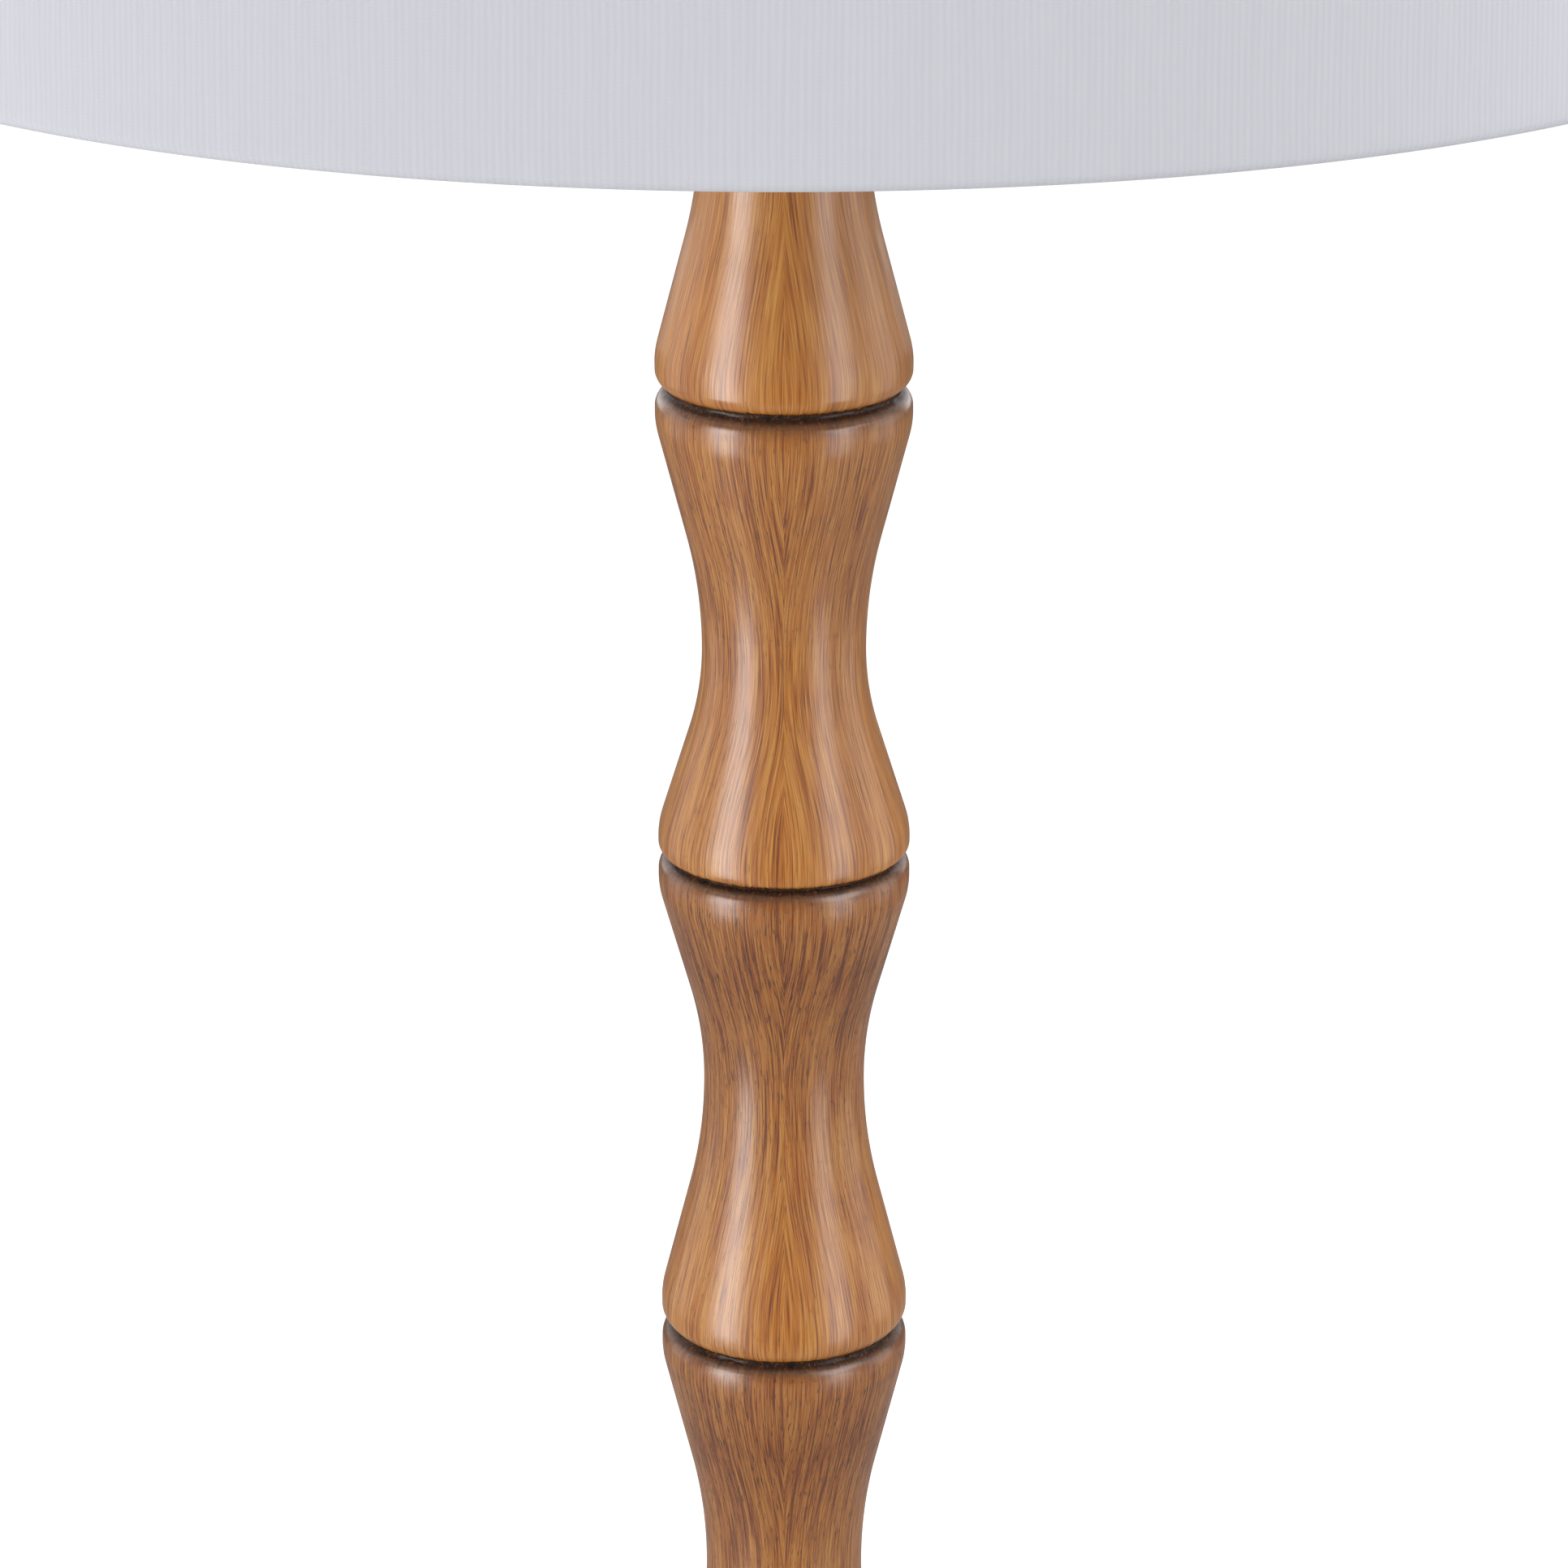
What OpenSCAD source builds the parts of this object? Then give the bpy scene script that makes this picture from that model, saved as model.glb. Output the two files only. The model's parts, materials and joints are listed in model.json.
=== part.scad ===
// Floor lamp on three splayed legs, with a cane-look turned column and a hardback drum shade.
// Millimetres, +Z up, floor at z = 0, front of the lamp towards -Y, column on the Z axis.

/* [Overall] */
// Height from the floor to the tip of the finial
overall_h = 1524; // [1480:1:1580]

/* [Shade] */
// Outside diameter of the shade at its lower edge
shade_bottom_d = 457.2; // [420:0.2:500]
// Outside diameter of the shade at its upper edge
shade_top_d = 432; // [400:1:460]
// Height of the shade from edge to edge
shade_h = 279; // [250:1:290]

/* [Column] */
// Diameter of the column at the swollen cane nodes
node_d = 57.6; // [52:0.2:62]
// Diameter of the column at the waists between nodes
waist_d = 37.2; // [34:0.2:42]
// Length of the topmost cane, inside the shade
top_cane_h = 120; // [112:1:126]
// Length of the second cane from the top
second_cane_h = 110; // [104:1:114]
// How much longer each cane is than the one above it
cane_growth = 8; // [6:0.5:9]

/* [Legs] */
// Lean of each leg from the vertical, in degrees
leg_angle = 30; // [26:1:32]
// Diameter of a leg at its swollen nodes
leg_node_d = 40; // [36:0.5:42]
// Diameter of a leg at its waists
leg_waist_d = 26; // [22:0.5:30]

/* [Hidden] */
$fn = 72;

// Heights down the lamp, from the shade to the hub
shade_top_z = overall_h - 27;
shade_bottom_z = shade_top_z - shade_h;
seat_top_z = overall_h - 37;
column_top_z = overall_h - 285;
cane_count = 7;
hub_top_z = node_z(cane_count);
hub_h = 90;
hub_bottom_z = hub_top_z - hub_h;

// Cane outline: shoulder and lip beside each groove
lip_h = 5.5;
lip_flat = 1.2;
lip_r = 4;
lip_sweep = 65;
groove_depth = 2.6;
shoulder_r = 20;
waist_fullness = 0.42;
joint_lip = 0.62;
waist_shift = [0, 6, -3, 1, 3, -2, 0];

// Central pipe and its fittings
pipe_r = 5.15;
pipe_bore_r = 3.5;
thread_r = 5.2;
column_bore_r = 5.4;
coupling_r = 8;
coupling_h = 26;
pocket_r = 8.6;
lower_joint = 5;
upper_joint = 2;

// Hub, leg sockets and the hollow under the hub
hub_r = 50;
cavity_r = 22;
cavity_h = 40;
collar_r = 25;
collar_h = 14;
seat_r = 45;
seat_drop = 63;
seat_z = hub_top_z - seat_drop;
pad_h = 5;
pad_r = 15;
screw_z = 1;
leg_scale = 0.7;
leg_len = seat_z / cos(leg_angle);
leg_growth = 8;
leg_end_h = 17;
leg_cane_h = (leg_len - leg_end_h - 3 * leg_growth) / 3;
foot_r = seat_r + (seat_z - pad_h) * tan(leg_angle);
leg_turns = [270, 30, 150];
stud_r = 4;
insert_r = 6;
insert_h = 20;
cable_z = hub_bottom_z + 24;
cable_r = 4;
cable_face_y = 45;

// Lampholder, switch and bulb
nut_z = column_top_z + 3;
saddle_z = nut_z + 4;
cap_z = saddle_z + 2;
switch_z = cap_z + 25;
bulb_z = cap_z + 35;
shell_top_z = cap_z + 61;
glass_z = cap_z + 62;

// Harp
harp_x = 27;
harp_half_w = 56;
harp_wire_r = 1.6;
harp_top_z = seat_top_z - 3;
harp_foot_z = cap_z + 13;
harp_bend_z = harp_foot_z + 22;
harp_bend_r = 36;
harp_bend_a = acos(1 - (harp_half_w - harp_x) / (2 * harp_bend_r));
harp_side_z = harp_bend_z + 2 * harp_bend_r * sin(harp_bend_a);
sleeve_z = harp_foot_z - 8;
sleeve_h = 16;

// Shade
cloth_t = 0.8;
liner_t = 0.5;
roll_r = 2.5;
ring_hole_r = 1.6;
ring_r = 1.55;
top_roll_r = shade_top_d / 2 - roll_r;
bottom_roll_r = shade_bottom_d / 2 - roll_r;
top_roll_z = shade_top_z - roll_r;
bottom_roll_z = shade_bottom_z + roll_r;
spider_z = seat_top_z + 0.75;
spider_turns = [90, 210, 330];
notch_w = 5;

// ---------- outlines ----------

// Height of cane node i, counted down from the top of the column.
function node_z(i) = i == 0 ? column_top_z
    : column_top_z - top_cane_h - (i - 1) * second_cane_h - cane_growth * (i - 1) * (i - 2) / 2;

// Middle of cane i, where its waist is.
function waist_z(i) = (node_z(i) + node_z(i + 1)) / 2 - waist_shift[i];

// Rising curve from a hollow waist (waist, 0) to a full shoulder (full, rise):
// a concave arc, a straight flank and a convex arc, all tangent.
function flank(waist, full, rise, hollow_r, full_r) =
    let (sum = hollow_r + full_r, reach = sum - (full - waist),
        lean = atan2(rise, reach) - acos(sum / norm([rise, reach])))
    concat(
        [for (i = [0:6]) let (a = lean * i / 6)
            [waist + hollow_r * (1 - cos(a)), hollow_r * sin(a)]],
        [for (i = [4:-1:0]) let (a = lean * i / 4)
            [full - full_r * (1 - cos(a)), rise - full_r * sin(a)]]);

// Half a cane from its waist to the groove at its node; k scales the lip and the groove.
function half_cane(h, full, waist, k, shoulder) =
    let (rise = h - lip_h * k, sum = waist_fullness * rise * rise / (full - waist))
    concat(
        flank(waist, full, rise, sum - shoulder, shoulder),
        [for (i = [0:5]) let (a = lip_sweep * i / 5)
            [full - lip_r * k * (1 - cos(a)), rise + (lip_flat + lip_r * sin(a)) * k]],
        [[full - groove_depth * k, h]]);

// Whole cane from its lower groove to its upper groove, as radius and height pairs.
function cane(low, mid, high, full, waist, k_low, k_high, shoulder) =
    let (down = half_cane(mid - low, full, waist, k_low, shoulder),
        up = half_cane(high - mid, full, waist, k_high, shoulder))
    concat(
        [for (i = [len(down) - 1:-1:1]) [down[i].x, mid - down[i].y]],
        [for (p = up) [p.x, mid + p.y]]);

// Outline of column canes first to last, listed from the bottom up.
function column_outline(first, last, trim) =
    [for (i = [last:-1:first])
        let (pts = cane(node_z(i + 1), waist_z(i), node_z(i), node_d / 2, waist_d / 2,
            i == last ? trim : 1, 1, shoulder_r))
        for (j = [i == last ? 0 : 1:len(pts) - 1]) pts[j]];

// Outline of a leg along its own axis, from the seat in the hub to past the floor.
function leg_node(i) = i * leg_cane_h + leg_growth * i * (i - 1) / 2;
leg_outline = [for (i = [0:3])
    let (pts = cane(leg_node(i), (leg_node(i) + leg_node(i + 1)) / 2, leg_node(i + 1),
        leg_node_d / 2, leg_waist_d / 2, leg_scale, leg_scale, shoulder_r * leg_scale))
    for (j = [i == 0 ? 0 : 1:len(pts) - 1]) pts[j]];

// ---------- shared shapes ----------

// Solid of revolution from an outline listed bottom up, closed on the axis.
module turned(pts) {
    rotate_extrude()
        polygon(concat([[0, pts[0].y]], pts, [[0, pts[len(pts) - 1].y]]));
}

// Round tube standing on z.
module tube(r, bore, z, h) {
    translate([0, 0, z])
        difference() {
            cylinder(r = r, h = h);
            translate([0, 0, -1])
                cylinder(r = bore, h = h + 2);
        }
}

// Hexagon nut, measured across its flats, with a round bore.
module hex_nut(flats, bore, z, h) {
    translate([0, 0, z])
        difference() {
            cylinder(d = flats / cos(30), h = h, $fn = 6);
            translate([0, 0, -1])
                cylinder(r = bore, h = h + 2);
        }
}

// Places children on the axis of the leg at the given turn, origin on the seat.
module at_leg(turn) {
    rotate([0, 0, turn])
        translate([seat_r, 0, seat_z])
            rotate([0, 180 - leg_angle, 0])
                children();
}

// Places children on the foot of each leg.
module at_feet() {
    for (turn = leg_turns)
        rotate([0, 0, turn])
            translate([foot_r, 0, 0])
                children();
}

// Column piece from cane first to cane last, bored for the pipe.
module column_piece(first, last, trim, low_pocket, high_pocket) {
    low = node_z(last + 1);
    high = node_z(first);
    difference() {
        turned(column_outline(first, last, trim));
        translate([0, 0, low - 1])
            cylinder(r = column_bore_r, h = high - low + 2);
        if (low_pocket)
            translate([0, 0, low - 1])
                cylinder(r = pocket_r, h = coupling_h / 2 + 1.5);
        if (high_pocket)
            translate([0, 0, high - coupling_h / 2 - 0.5])
                cylinder(r = pocket_r, h = coupling_h / 2 + 1.5);
    }
}

// ---------- legs and hub ----------

module leg(turn) {
    color("#b5743a")
        difference() {
            at_leg(turn)
                turned(leg_outline);
            at_leg(turn)
                translate([0, 0, -1])
                    cylinder(r = insert_r + 0.05, h = insert_h + 1);
            at_leg(turn)
                translate([0, 0, insert_h - 1])
                    cylinder(r = stud_r + 0.4, h = 15);
            rotate([0, 0, turn])
                translate([foot_r, 0, 0])
                    cylinder(r = 2.05, h = 22);
            translate([0, 0, pad_h - 200])
                cylinder(r = 400, h = 200);
        }
}

module foot_pads() {
    color("#2b2926")
        at_feet()
            difference() {
                cylinder(r = pad_r, h = pad_h);
                translate([0, 0, -1])
                    cylinder(r = 2.2, h = pad_h + 2);
                translate([0, 0, -1])
                    cylinder(r = 5, h = screw_z + 2.8);
            }
}

module foot_screws() {
    color("#a9abad")
        at_feet()
            translate([0, 0, screw_z]) {
                cylinder(r = 4.2, h = 1.8);
                cylinder(r = 2, h = 20);
            }
}

module leg_studs() {
    color("#a9abad")
        for (turn = leg_turns)
            at_leg(turn)
                translate([0, 0, -26])
                    cylinder(r = stud_r, h = 58);
}

module leg_inserts() {
    color("#c9a452")
        for (turn = leg_turns)
            at_leg(turn)
                tube(insert_r, stud_r + 0.05, 0, insert_h);
}

module hub() {
    barrel = [for (i = [0:24]) let (a = 180 * (1 - i / 24))
        [node_d / 2 - groove_depth + (hub_r - node_d / 2 + groove_depth) * pow(sin(a), 0.8),
            hub_bottom_z + hub_h / 2 * (1 + cos(a))]];
    color("#a9683a")
        difference() {
            union() {
                turned(barrel);
                for (turn = leg_turns)
                    at_leg(turn)
                        translate([0, 0, -18])
                            cylinder(r = collar_r, h = collar_h + 18);
            }
            translate([0, 0, hub_bottom_z - 1])
                cylinder(r = column_bore_r, h = hub_h + 2);
            translate([0, 0, hub_bottom_z - 10])
                cylinder(r = cavity_r, h = cavity_h + 10);
            for (turn = leg_turns)
                at_leg(turn) {
                    cylinder(r = leg_node_d / 2 + 0.3, h = 60);
                    translate([0, 0, -28])
                        cylinder(r = stud_r + 0.05, h = 30);
                }
            translate([0, cavity_r - 6, cable_z])
                rotate([-90, 0, 0])
                    cylinder(r = 6.05, h = 40);
            translate([0, cable_face_y, cable_z])
                rotate([-90, 0, 0])
                    cylinder(r = 9, h = 20);
        }
}

module hub_cap() {
    drop = [for (i = [0:8]) let (a = -90 + 130 * i / 8)
        [9 * cos(a), hub_bottom_z - 20 + 9 * sin(a)]];
    color("#b98a3c")
        turned(concat(
            drop,
            [[8, hub_bottom_z - 11], [20, hub_bottom_z - 7], [25.5, hub_bottom_z - 4],
                [25.5, hub_bottom_z], [cavity_r - 0.1, hub_bottom_z],
                [cavity_r - 0.1, hub_bottom_z + 9]]));
}

module cable_bushing() {
    color("#2b2926")
        translate([0, cavity_r - 1, cable_z])
            rotate([-90, 0, 0])
                difference() {
                    union() {
                        cylinder(r = 6, h = cable_face_y - cavity_r + 2);
                        translate([0, 0, cable_face_y - cavity_r + 1])
                            cylinder(r = 8.5, h = 3);
                    }
                    translate([0, 0, -1])
                        cylinder(r = cable_r, h = 40);
                }
}

module base_washer() {
    color("#a9abad")
        tube(19, thread_r + 0.3, hub_bottom_z + cavity_h - 2, 2);
}

module base_nut() {
    color("#a9abad")
        hex_nut(17, thread_r, hub_bottom_z + cavity_h - 8, 6);
}

// ---------- column ----------

module column_lower() {
    color("#b5743a")
        column_piece(lower_joint, cane_count - 1, 1, false, true);
}

module column_middle() {
    color("#b5743a")
        column_piece(upper_joint, lower_joint - 1, joint_lip, true, true);
}

module column_upper() {
    color("#b5743a")
        column_piece(0, upper_joint - 1, joint_lip, true, false);
}

// Threaded pipe between two heights.
module pipe(low, high) {
    color("#8e9092")
        tube(pipe_r, pipe_bore_r, low, high - low);
}

module pipe_lower() {
    pipe(hub_bottom_z + cavity_h - 10, node_z(lower_joint) - 0.5);
}

module pipe_middle() {
    pipe(node_z(lower_joint) + 0.5, node_z(upper_joint) - 0.5);
}

module pipe_upper() {
    pipe(node_z(upper_joint) + 0.5, cap_z + 9);
}

module pipe_couplings() {
    color("#8e9092")
        for (i = [upper_joint, lower_joint])
            tube(coupling_r, thread_r, node_z(i) - coupling_h / 2, coupling_h);
}

module check_plate() {
    color("#c9a452")
        difference() {
            turned([[22, column_top_z], [22, column_top_z + 1.2], [19, column_top_z + 3]]);
            translate([0, 0, column_top_z - 1])
                cylinder(r = thread_r, h = 5);
        }
}

module lock_nut() {
    color("#c9a452")
        hex_nut(16, thread_r, nut_z, 4);
}

// ---------- lampholder, switch and bulb ----------

module harp_saddle() {
    color("#c9a452")
        difference() {
            union() {
                translate([-harp_x - 3, -7, saddle_z])
                    cube([2 * harp_x + 6, 14, 2]);
                for (x = [-harp_x, harp_x])
                    translate([x, 0, saddle_z]) {
                        cylinder(r = 4, h = 7);
                        cylinder(r = harp_wire_r, h = harp_foot_z - saddle_z);
                    }
            }
            translate([0, 0, saddle_z - 1])
                cylinder(r = thread_r, h = 4);
        }
}

module socket_cap() {
    color("#c9a452")
        rotate_extrude()
            polygon([[thread_r, cap_z], [8, cap_z], [8.6, cap_z + 2.4], [14, cap_z + 4.4],
                [17.6, cap_z + 8], [18.6, cap_z + 12], [18.6, cap_z + 18],
                [18, cap_z + 18], [18, cap_z + 12.2], [17, cap_z + 8.4],
                [13.6, cap_z + 5], [8, cap_z + 3.2], [8, cap_z + 7], [thread_r, cap_z + 7]]);
}

// Side hole in the lampholder for the switch shaft, towards the front.
module shaft_hole(r, reach) {
    translate([0, -2, switch_z])
        rotate([90, 0, 0])
            cylinder(r = r, h = reach);
}

module socket_shell() {
    color("#c9a452")
        difference() {
            rotate_extrude()
                polygon([[17.2, cap_z + 13], [17.8, cap_z + 13], [17.8, shell_top_z - 3],
                    [18.7, shell_top_z - 1.5], [18.4, shell_top_z], [17.2, shell_top_z - 2]]);
            shaft_hole(3.2, 30);
        }
}

module shell_insulator() {
    color("#7d6a52")
        difference() {
            tube(17.1, 16.5, cap_z + 14, shell_top_z - cap_z - 16.5);
            shaft_hole(3.2, 30);
        }
}

module socket_body() {
    color("#3a2c22")
        difference() {
            translate([0, 0, cap_z + 11])
                cylinder(r = 16, h = 22);
            translate([0, 0, cap_z + 10])
                cylinder(r = 9, h = 6);
            shaft_hole(1.55, 30);
            for (side = [0, 180])
                rotate([0, 0, side])
                    translate([12, 0, switch_z])
                        rotate([0, 90, 0])
                            cylinder(r = 3, h = 10);
        }
}

module terminal_screws() {
    color("#c9a452")
        for (side = [0, 180])
            rotate([0, 0, side])
                translate([12, 0, switch_z])
                    rotate([0, 90, 0])
                        difference() {
                            cylinder(r = 2.9, h = 3);
                            translate([-4, -0.4, 2.2])
                                cube([8, 0.8, 2]);
                        }
}

module screw_shell() {
    low = cap_z + 33;
    wave = [for (i = [0:12]) [i % 2 == 0 ? 13.4 : 13.8, low + 2.4 + 1.7 * i]];
    outer = [for (i = [12:-1:0]) [wave[i].x + 0.6, wave[i].y]];
    color("#c3c5c8")
        rotate_extrude()
            polygon(concat([[7, low], [7, low + 0.8], [13.4, low + 0.8]], wave, outer, [[14, low]]));
}

module centre_contact() {
    color("#c9a452")
        translate([0, 0, cap_z + 33])
            cylinder(r1 = 5, r2 = 3, h = 1.8);
}

module switch_shaft() {
    color("#c9a452")
        shaft_hole(1.5, 22);
}

module switch_knob() {
    color("#2b2926")
        difference() {
            union() {
                translate([0, -21, switch_z])
                    rotate([90, 0, 0])
                        cylinder(r1 = 5.5, r2 = 5, h = 5);
                translate([-1.6, -35, switch_z - 5])
                    cube([3.2, 11, 10]);
            }
            shaft_hole(1.52, 22.5);
        }
}

module bulb_base() {
    low = bulb_z + 4;
    wave = [for (i = [0:10]) [i % 2 == 0 ? 12.6 : 13.1, low + 1 + 1.7 * i]];
    color("#c3c5c8")
        difference() {
            turned(concat([[10.4, low]], wave, [[13.1, glass_z - 2.5], [13.1, glass_z]]));
            translate([0, 0, low + 1])
                cylinder(r = 12, h = 30);
        }
}

module bulb_insulator() {
    color("#1d1c1b")
        turned([[4.6, bulb_z + 1.2], [10.2, bulb_z + 4]]);
}

module bulb_contact() {
    color("#c3c5c8")
        turned([[3, bulb_z], [4.4, bulb_z + 0.6], [4.4, bulb_z + 1.2]]);
}

module bulb_glass() {
    neck = 13.6;
    full = 30;
    rise = 50;
    wall = 0.8;
    outer = concat(flank(neck, full, rise, 42, full),
        [for (i = [1:9]) [full * cos(10 * i), rise + full * sin(10 * i)]]);
    inner = concat(flank(neck - wall, full - wall, rise, 42 + wall, full - wall),
        [for (i = [1:9]) [(full - wall) * cos(10 * i), rise + (full - wall) * sin(10 * i)]]);
    color("#f2efe8", 0.8)
        translate([0, 0, glass_z])
            rotate_extrude()
                polygon(concat(
                    [[11.2, -4], [11.9, -4], [11.9, 0]], outer,
                    [for (i = [len(inner) - 1:-1:0]) inner[i]], [[11.2, -1]]));
}

// ---------- harp ----------

// Wire bent to an arc in the XZ plane about (x, z), from one angle through a sweep.
module wire_arc(x, z, bend, from, sweep, r = harp_wire_r) {
    translate([x, 0, z])
        rotate([90, 0, 0])
            rotate([0, 0, from])
                rotate_extrude(angle = sweep)
                    translate([bend, 0])
                        circle(r = r);
}

// Straight upright wire in the XZ plane.
module wire_up(x, low, high) {
    translate([x, 0, low])
        cylinder(r = harp_wire_r, h = high - low);
}

// Slight swelling where the wire changes from one bend to the next, which joins the lengths.
module wire_bead(x, z) {
    translate([x, 0, z])
        sphere(r = harp_wire_r + 0.1);
}

module harp_side() {
    wire_up(harp_x, harp_foot_z, harp_bend_z);
    wire_bead(harp_x, harp_bend_z);
    wire_arc(harp_x + harp_bend_r, harp_bend_z, harp_bend_r, 180 - harp_bend_a, harp_bend_a);
    wire_bead((harp_x + harp_half_w) / 2, (harp_bend_z + harp_side_z) / 2);
    wire_arc(harp_half_w - harp_bend_r, harp_side_z, harp_bend_r, -harp_bend_a, harp_bend_a);
    wire_bead(harp_half_w, harp_side_z);
    wire_up(harp_half_w, harp_side_z, harp_top_z - harp_half_w);
    wire_bead(harp_half_w, harp_top_z - harp_half_w);
}

module harp() {
    color("#c9a452")
        union() {
            harp_side();
            rotate([0, 0, 180])
                harp_side();
            wire_arc(0, harp_top_z - harp_half_w, harp_half_w, 0, 180);
        }
}

module harp_stud() {
    color("#c9a452")
        difference() {
            union() {
                translate([0, 0, harp_top_z - 3])
                    cylinder(r = 4.5, h = 4.6);
                translate([0, 0, harp_top_z + 1.6])
                    cylinder(r = 8, h = seat_top_z - harp_top_z - 1.6);
                translate([0, 0, seat_top_z])
                    cylinder(r = 3.1, h = 14);
            }
            wire_arc(0, harp_top_z - harp_half_w, harp_half_w, 60, 60, harp_wire_r + 0.05);
        }
}

module harp_sleeve(side) {
    color("#c9a452")
        translate([side * harp_x, 0, 0])
            tube(3.1, harp_wire_r + 0.06, sleeve_z, sleeve_h);
}

module harp_sleeve_right() {
    harp_sleeve(1);
}

module harp_sleeve_left() {
    harp_sleeve(-1);
}

// ---------- shade and finial ----------

module spider_arm(r) {
    knee = [top_roll_r - 22, 0, spider_z];
    rise = top_roll_z - spider_z;
    translate([9, 0, spider_z])
        rotate([0, 90, 0])
            cylinder(r = r, h = knee.x - 9);
    translate(knee)
        sphere(r = r + 0.2);
    translate(knee)
        rotate([0, atan2(22, rise), 0])
            cylinder(r = r, h = norm([22, rise]));
}

module spider_fitter() {
    color("#c9a452")
        union() {
            tube(11, 3.3, seat_top_z, 1.5);
            for (turn = spider_turns)
                rotate([0, 0, turn])
                    spider_arm(1.4);
            translate([0, 0, top_roll_z])
                rotate_extrude()
                    translate([top_roll_r, 0])
                        circle(r = ring_r);
        }
}

module shade_ring() {
    color("#c9a452")
        translate([0, 0, bottom_roll_z])
            rotate_extrude()
                translate([bottom_roll_r, 0])
                    circle(r = ring_r);
}

// Inner and outer radius of a layer of the shade wall at a height.
function wall_r(z) = shade_bottom_d / 2
    - (shade_bottom_d - shade_top_d) / 2 * (z - bottom_roll_z) / (top_roll_z - bottom_roll_z);

module shade_liner() {
    low = bottom_roll_z + roll_r + 0.2;
    high = top_roll_z - roll_r - 0.2;
    skin = cloth_t + 0.1;
    color("#f4f2ec")
        rotate_extrude()
            polygon([[wall_r(low) - skin - liner_t, low], [wall_r(low) - skin, low],
                [wall_r(high) - skin, high], [wall_r(high) - skin - liner_t, high]]);
}

module shade_cloth() {
    bottom_roll = [for (a = [-180:15:0])
        [bottom_roll_r + roll_r * cos(a), bottom_roll_z + roll_r * sin(a)]];
    top_roll = [for (a = [0:15:180])
        [top_roll_r + roll_r * cos(a), top_roll_z + roll_r * sin(a)]];
    join = roll_r * 0.73;
    color("#dcdde2")
        difference() {
            rotate_extrude()
                difference() {
                    polygon(concat(
                        bottom_roll, top_roll,
                        [[top_roll_r - roll_r * 0.7, top_roll_z - join],
                            [top_roll_r, top_roll_z - roll_r],
                            [wall_r(top_roll_z - roll_r) - cloth_t, top_roll_z - roll_r],
                            [wall_r(bottom_roll_z + roll_r) - cloth_t, bottom_roll_z + roll_r],
                            [bottom_roll_r, bottom_roll_z + roll_r],
                            [bottom_roll_r - roll_r * 0.7, bottom_roll_z + join]]));
                    translate([top_roll_r, top_roll_z])
                        circle(r = ring_hole_r);
                    translate([bottom_roll_r, bottom_roll_z])
                        circle(r = ring_hole_r);
                }
            for (turn = spider_turns)
                rotate([0, 0, turn])
                    translate([top_roll_r - 6, -notch_w / 2, top_roll_z - 4.5])
                        cube([6, notch_w, 5]);
        }
}

module finial_seat() {
    low = seat_top_z + 1.5;
    color("#c9a452")
        difference() {
            turned([[7.5, low], [7.5, low + 1.6], [5.4, low + 3.2], [5.4, low + 11],
                [7, low + 12], [7, low + 13.5]]);
            translate([0, 0, low - 1])
                cylinder(r = 3.15, h = 14);
        }
}

module finial_knob() {
    low = seat_top_z + 15;
    color("#b5743a")
        turned(concat(
            [[6.4, low], [7.4, low + 1.2]],
            [for (i = [0:11]) let (a = -40 + 130 * i / 11)
                [9.6 * cos(a), low + 10.2 + (a < 0 ? 11.6 : 11.8) * sin(a)]]));
}

module leg_front() {
    leg(leg_turns[0]);
}

module leg_right() {
    leg(leg_turns[1]);
}

module leg_left() {
    leg(leg_turns[2]);
}

leg_front();
leg_right();
leg_left();
foot_pads();
foot_screws();
leg_studs();
leg_inserts();
hub();
hub_cap();
cable_bushing();
base_washer();
base_nut();
column_lower();
column_middle();
column_upper();
pipe_lower();
pipe_middle();
pipe_upper();
pipe_couplings();
check_plate();
lock_nut();
harp_saddle();
socket_cap();
socket_shell();
shell_insulator();
socket_body();
terminal_screws();
screw_shell();
centre_contact();
switch_shaft();
switch_knob();
bulb_base();
bulb_insulator();
bulb_contact();
bulb_glass();
harp();
harp_stud();
harp_sleeve_right();
harp_sleeve_left();
spider_fitter();
shade_ring();
shade_liner();
shade_cloth();
finial_seat();
finial_knob();
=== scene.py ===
import json
import math

import bmesh
import bpy
from mathutils import Matrix, Vector, noise


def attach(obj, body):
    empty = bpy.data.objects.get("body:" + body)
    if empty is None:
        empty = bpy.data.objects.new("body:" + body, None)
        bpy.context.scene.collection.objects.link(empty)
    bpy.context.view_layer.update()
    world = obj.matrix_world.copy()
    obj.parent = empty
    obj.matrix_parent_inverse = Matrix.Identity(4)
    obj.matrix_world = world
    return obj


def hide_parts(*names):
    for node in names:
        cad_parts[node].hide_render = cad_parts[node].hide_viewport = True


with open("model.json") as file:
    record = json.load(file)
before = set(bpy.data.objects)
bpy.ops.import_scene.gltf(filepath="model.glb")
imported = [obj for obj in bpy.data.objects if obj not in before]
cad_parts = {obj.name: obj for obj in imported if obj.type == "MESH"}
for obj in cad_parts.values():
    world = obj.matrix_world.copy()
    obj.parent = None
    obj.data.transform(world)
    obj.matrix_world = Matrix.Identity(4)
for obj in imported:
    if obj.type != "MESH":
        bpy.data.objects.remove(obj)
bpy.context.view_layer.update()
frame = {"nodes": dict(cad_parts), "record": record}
nodes = frame["nodes"]
scene = bpy.context.scene

MM = 0.001

# ---------------------------------------------------------------- sizes, in millimetres

COLUMN_TOP = 1239.0
TOP_CANE = 120.0
SECOND_CANE = 110.0
CANE_GROWTH = 8.0
CANES = 7
WAIST_SHIFT = [0, 6, -3, 1, 3, -2, 0]
# grooves where the column comes apart, and how fine those two are beside the rest
UPPER_JOINT = 2
LOWER_JOINT = 5
JOINT_TRIM = 0.62

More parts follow.
